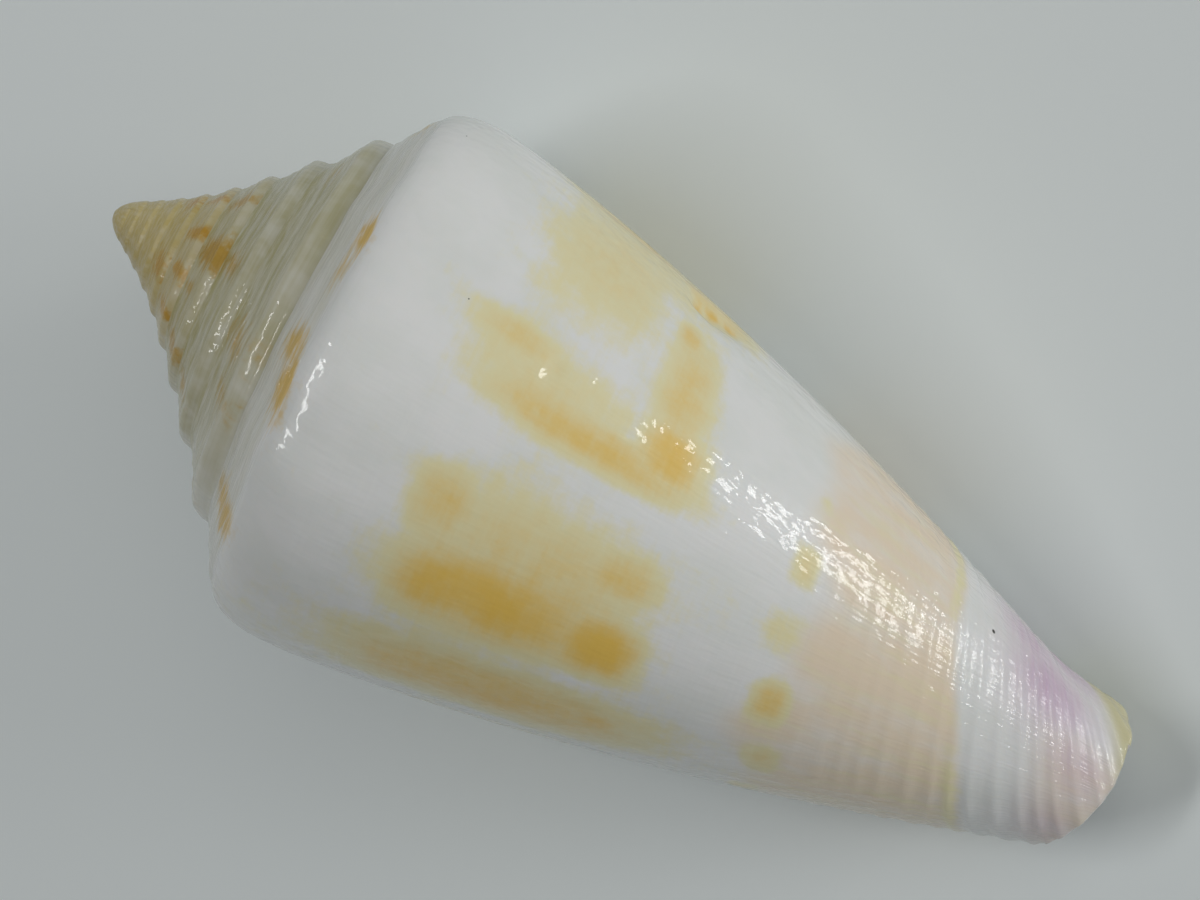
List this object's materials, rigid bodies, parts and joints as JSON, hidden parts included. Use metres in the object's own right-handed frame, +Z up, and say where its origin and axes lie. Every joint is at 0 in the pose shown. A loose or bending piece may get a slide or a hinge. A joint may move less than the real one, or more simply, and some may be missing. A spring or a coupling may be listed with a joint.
{
  "type": "cone shell",
  "caption": "Glossy cone-shaped sea shell with a stepped spire, a rounded shoulder and a long narrow aperture, lying on its aperture side.",
  "frame": {"origin": "centre of the bounding box, on the surface that the shell lies on", "axes": "+Z up, +X from the apex of the spire towards the front end, along the longest extent"},
  "size_m": [0.0276, 0.014, 0.0129],
  "materials": {
    "shell": "natural porcelain gloss"
  },
  "bodies": {
    "root": {"shell": "shell"}
  },
  "joints": []
}
